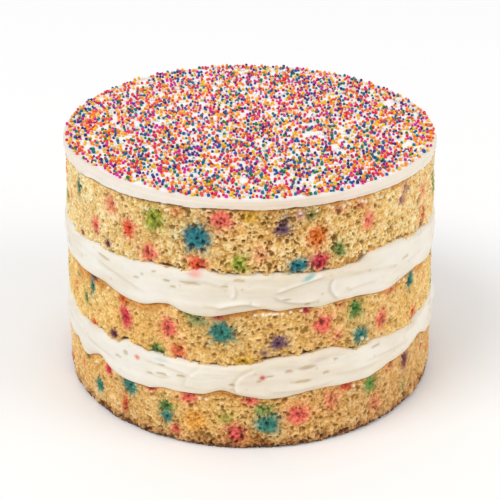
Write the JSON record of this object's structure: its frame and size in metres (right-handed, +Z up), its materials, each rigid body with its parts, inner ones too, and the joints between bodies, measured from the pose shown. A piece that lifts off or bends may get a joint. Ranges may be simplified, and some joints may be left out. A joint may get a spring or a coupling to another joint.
{
  "type": "layer cake",
  "caption": "Round naked confetti layer cake with cream fillings showing at the side and a thin iced top covered in sugar sprinkles.",
  "frame": {"origin": "middle of the cake's flat foot, on the surface it stands on", "axes": "+Z up through the middle of the cake; the side that the picture shows faces -Y"},
  "size_m": [0.1519, 0.1519, 0.1024],
  "materials": {
    "sponge_crumb": "open golden sponge crumb with coloured confetti spots",
    "buttercream": "smooth off-white cream, satin",
    "sprinkled_icing": "white icing under many-coloured sugar beads, satin"
  },
  "bodies": {
    "root": {"sponge_bottom": "sponge_crumb", "cream_lower": "buttercream", "sponge_middle": "sponge_crumb", "cream_upper": "buttercream", "sponge_top": "sponge_crumb", "icing_top": "sprinkled_icing"}
  },
  "joints": []
}
